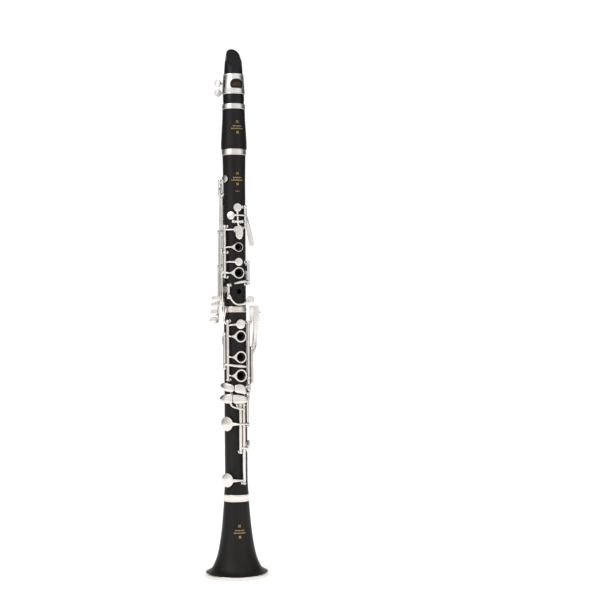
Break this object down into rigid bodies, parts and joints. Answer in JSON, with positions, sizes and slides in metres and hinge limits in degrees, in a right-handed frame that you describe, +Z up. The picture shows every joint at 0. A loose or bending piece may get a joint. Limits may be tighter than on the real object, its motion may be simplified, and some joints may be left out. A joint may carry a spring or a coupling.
{
  "type": "clarinet",
  "caption": "Straight single-reed woodwind in five turned wood joints with a flared bell, ringed finger holes and sprung side, trill and little-finger keys.",
  "frame": {"origin": "centre of the bell's rim, on the plane the rim stands on", "axes": "+Z up the bore towards the mouthpiece, -Y out of the front finger holes, +X towards the left-hand little-finger levers"},
  "size_m": [0.0804, 0.0804, 0.6663],
  "materials": {
    "grenadilla": "satin, dark brown-black African blackwood with fine lengthwise grain",
    "ebonite": "polished black ebonite",
    "silver_plate": "polished silver plate, slightly warm",
    "nickel": "polished nickel plate",
    "steel": "turned steel rods and silvered posts",
    "cane": "bare cane, fine straight fibre",
    "cork": "greased cork"
  },
  "bodies": {
    "instrument": {"bell": "grenadilla", "lower_joint": "grenadilla", "upper_joint": "grenadilla", "barrel": "grenadilla", "mouthpiece": "ebonite", "reed": "cane", "ligature": "nickel", "bell_rim_ring": "silver_plate", "bell_socket_ring": "silver_plate", "middle_ring": "silver_plate", "barrel_bottom_ring": "silver_plate", "barrel_top_ring": "silver_plate", "lower_joint_cork": "cork", "upper_joint_foot_cork": "cork", "upper_joint_top_cork": "cork", "mouthpiece_cork": "cork", "thumb_rest": "silver_plate", "register_axle": "steel", "throat_a_axle": "steel", "throat_g_sharp_axle": "steel", "trill_axle": "steel", "side_key_axle": "steel", "left_stack_axle": "steel", "thumb_ring_axle": "steel", "c_sharp_g_sharp_axle": "steel", "e_flat_sliver_axle": "steel", "right_stack_axle": "steel", "b_natural_sliver_axle": "steel", "right_edge_axle": "steel", "middle_lever_axle": "steel", "outer_lever_axle": "steel", "f_c_axle": "steel", "e_b_axle": "steel", "f_sharp_c_sharp_axle": "steel"},
    "register_key": {"register_key": "silver_plate"},
    "throat_a_key": {"throat_a_key": "silver_plate"},
    "throat_g_sharp_key": {"throat_g_sharp_key": "silver_plate"},
    "trill_key_upper": {"trill_key_upper": "silver_plate"},
    "trill_key_lower": {"trill_key_lower": "silver_plate"},
    "side_e_flat_key": {"side_e_flat_key": "silver_plate"},
    "side_f_sharp_key": {"side_f_sharp_key": "silver_plate"},
    "left_index_ring_key": {"left_index_ring_key": "silver_plate"},
    "thumb_ring_key": {"thumb_ring_key": "silver_plate"},
    "left_bridge_key": {"left_bridge_key": "silver_plate"},
    "c_sharp_g_sharp_key": {"c_sharp_g_sharp_key": "silver_plate"},
    "e_flat_sliver_key": {"e_flat_sliver_key": "silver_plate"},
    "right_ring_key": {"right_ring_key": "silver_plate"},
    "b_natural_sliver_key": {"b_natural_sliver_key": "silver_plate"},
    "g_sharp_d_sharp_key": {"g_sharp_d_sharp_key": "silver_plate"},
    "f_c_key": {"f_c_key": "silver_plate"},
    "e_b_key": {"e_b_key": "silver_plate"},
    "f_sharp_c_sharp_key": {"f_sharp_c_sharp_key": "silver_plate"},
    "left_lever_inner": {"left_lever_inner": "silver_plate"},
    "left_lever_middle": {"left_lever_middle": "silver_plate"},
    "left_lever_outer": {"left_lever_outer": "silver_plate"},
    "ligature_screw_lower": {"ligature_screw_lower": "nickel"},
    "ligature_screw_upper": {"ligature_screw_upper": "nickel"}
  },
  "joints": [
    {"name": "register_hinge", "type": "hinge", "parent": "instrument", "child": "register_key", "pos_m": [0, 0.01769, 0.4516], "axis": [-1, 0, 0], "range_deg": [0, 6], "stiffness_Nm_per_rad": 0.12, "springref_deg": -20.05},
    {"name": "throat_a_hinge", "type": "hinge", "parent": "instrument", "child": "throat_a_key", "pos_m": [-0.00122, -0.01746, 0.4458], "axis": [0.9976, -0.0697, 0], "range_deg": [0, 6.5], "stiffness_Nm_per_rad": 0.12, "springref_deg": -20.05},
    {"name": "throat_g_sharp_hinge", "type": "hinge", "parent": "instrument", "child": "throat_g_sharp_key", "pos_m": [0.00948, -0.01577, 0.4516], "axis": [0, 0, 1], "range_deg": [0, 8], "stiffness_Nm_per_rad": 0.12, "springref_deg": -20.05},
    {"name": "trill_upper_hinge", "type": "hinge", "parent": "instrument", "child": "trill_key_upper", "pos_m": [-0.01833, 0.0016, 0.4896], "axis": [0, 0, -1], "range_deg": [0, 14], "stiffness_Nm_per_rad": 0.12, "springref_deg": -20.05},
    {"name": "trill_lower_hinge", "type": "hinge", "parent": "instrument", "child": "trill_key_lower", "pos_m": [-0.01133, 0.0145, 0.4546], "axis": [0, 0, -1], "range_deg": [0, 12], "stiffness_Nm_per_rad": 0.12, "springref_deg": -20.05},
    {"name": "side_e_flat_hinge", "type": "hinge", "parent": "instrument", "child": "side_e_flat_key", "pos_m": [-0.01133, 0.0145, 0.4096], "axis": [0, 0, -1], "range_deg": [0, 13], "stiffness_Nm_per_rad": 0.12, "springref_deg": -20.05},
    {"name": "side_f_sharp_hinge", "type": "hinge", "parent": "instrument", "child": "side_f_sharp_key", "pos_m": [-0.01133, 0.0145, 0.3676], "axis": [0, 0, -1], "range_deg": [0, 13], "stiffness_Nm_per_rad": 0.12, "springref_deg": -20.05},
    {"name": "left_index_ring_hinge", "type": "hinge", "parent": "instrument", "child": "left_index_ring_key", "pos_m": [-0.01594, -0.0092, 0.4236], "axis": [0, 0, 1], "range_deg": [0, 5.5], "stiffness_Nm_per_rad": 0.12, "springref_deg": -20.05},
    {"name": "thumb_ring_hinge", "type": "hinge", "parent": "instrument", "child": "thumb_ring_key", "pos_m": [0.01507, 0.01055, 0.4246], "axis": [0, 0, 1], "range_deg": [0, 5.5]},
    {"name": "left_bridge_hinge", "type": "hinge", "parent": "instrument", "child": "left_bridge_key", "pos_m": [-0.01594, -0.0092, 0.3916], "axis": [0, 0, 1], "range_deg": [0, 5.5]},
    {"name": "c_sharp_g_sharp_hinge", "type": "hinge", "parent": "instrument", "child": "c_sharp_g_sharp_key", "pos_m": [-0.01236, -0.0128, 0.3583], "axis": [0, 0, 1], "range_deg": [0, 9], "stiffness_Nm_per_rad": 0.12, "springref_deg": -20.05},
    {"name": "e_flat_sliver_hinge", "type": "hinge", "parent": "instrument", "child": "e_flat_sliver_key", "pos_m": [0.01346, -0.01255, 0.3813], "axis": [0, 0, -1], "range_deg": [0, 9], "stiffness_Nm_per_rad": 0.12, "springref_deg": -20.05},
    {"name": "right_ring_hinge", "type": "hinge", "parent": "instrument", "child": "right_ring_key", "pos_m": [-0.01382, -0.01245, 0.2846], "axis": [0, 0, 1], "range_deg": [0, 5.5], "stiffness_Nm_per_rad": 0.12, "springref_deg": -20.05},
    {"name": "b_natural_sliver_hinge", "type": "hinge", "parent": "instrument", "child": "b_natural_sliver_key", "pos_m": [-0.01672, -0.00815, 0.2836], "axis": [0, 0, 1], "range_deg": [0, 9], "stiffness_Nm_per_rad": 0.12, "springref_deg": -20.05},
    {"name": "g_sharp_d_sharp_hinge", "type": "hinge", "parent": "instrument", "child": "g_sharp_d_sharp_key", "pos_m": [0.01292, -0.01338, 0.242], "axis": [0, 0, -1], "range_deg": [0, 8], "stiffness_Nm_per_rad": 0.12, "springref_deg": -20.05},
    {"name": "f_c_hinge", "type": "hinge", "parent": "instrument", "child": "f_c_key", "pos_m": [0.01067, -0.01524, 0.209], "axis": [0, 0, -1], "range_deg": [0, 5], "stiffness_Nm_per_rad": 0.12, "springref_deg": -20.05},
    {"name": "e_b_hinge", "type": "hinge", "parent": "instrument", "child": "e_b_key", "pos_m": [0.00481, -0.01797, 0.167], "axis": [0, 0, -1], "range_deg": [0, 6.5], "stiffness_Nm_per_rad": 0.12, "springref_deg": -20.05},
    {"name": "f_sharp_c_sharp_hinge", "type": "hinge", "parent": "instrument", "child": "f_sharp_c_sharp_key", "pos_m": [0.00032, -0.0186, 0.186], "axis": [0, 0, -1], "range_deg": [0, 8], "stiffness_Nm_per_rad": 0.12, "springref_deg": -20.05},
    {"name": "left_lever_inner_hinge", "type": "hinge", "parent": "instrument", "child": "left_lever_inner", "pos_m": [0.01292, -0.01338, 0.284], "axis": [0, 0, 1], "range_deg": [0, 7.8]},
    {"name": "left_lever_middle_hinge", "type": "hinge", "parent": "instrument", "child": "left_lever_middle", "pos_m": [0.01882, -0.00838, 0.265], "axis": [0, 0, 1], "range_deg": [0, 8]},
    {"name": "left_lever_outer_hinge", "type": "hinge", "parent": "instrument", "child": "left_lever_outer", "pos_m": [0.02009, -0.0007, 0.263], "axis": [0, 0, 1], "range_deg": [0, 7.5]},
    {"name": "ligature_screw_lower_turn", "type": "hinge", "parent": "instrument", "child": "ligature_screw_lower", "pos_m": [0, 0.0176, 0.6114], "axis": [1, 0, 0], "range_deg": [-180, 180]},
    {"name": "ligature_screw_upper_turn", "type": "hinge", "parent": "instrument", "child": "ligature_screw_upper", "pos_m": [0, 0.0176, 0.6235], "axis": [1, 0, 0], "range_deg": [-180, 180]}
  ],
  "couplings": [
    {"joint": "thumb_ring_hinge", "follows": "left_index_ring_hinge", "ratio": 1},
    {"joint": "left_bridge_hinge", "follows": "right_ring_hinge", "ratio": 1},
    {"joint": "left_lever_inner_hinge", "follows": "e_b_hinge", "ratio": 1.2},
    {"joint": "left_lever_middle_hinge", "follows": "f_sharp_c_sharp_hinge", "ratio": 1},
    {"joint": "left_lever_outer_hinge", "follows": "f_c_hinge", "ratio": 1.5}
  ]
}
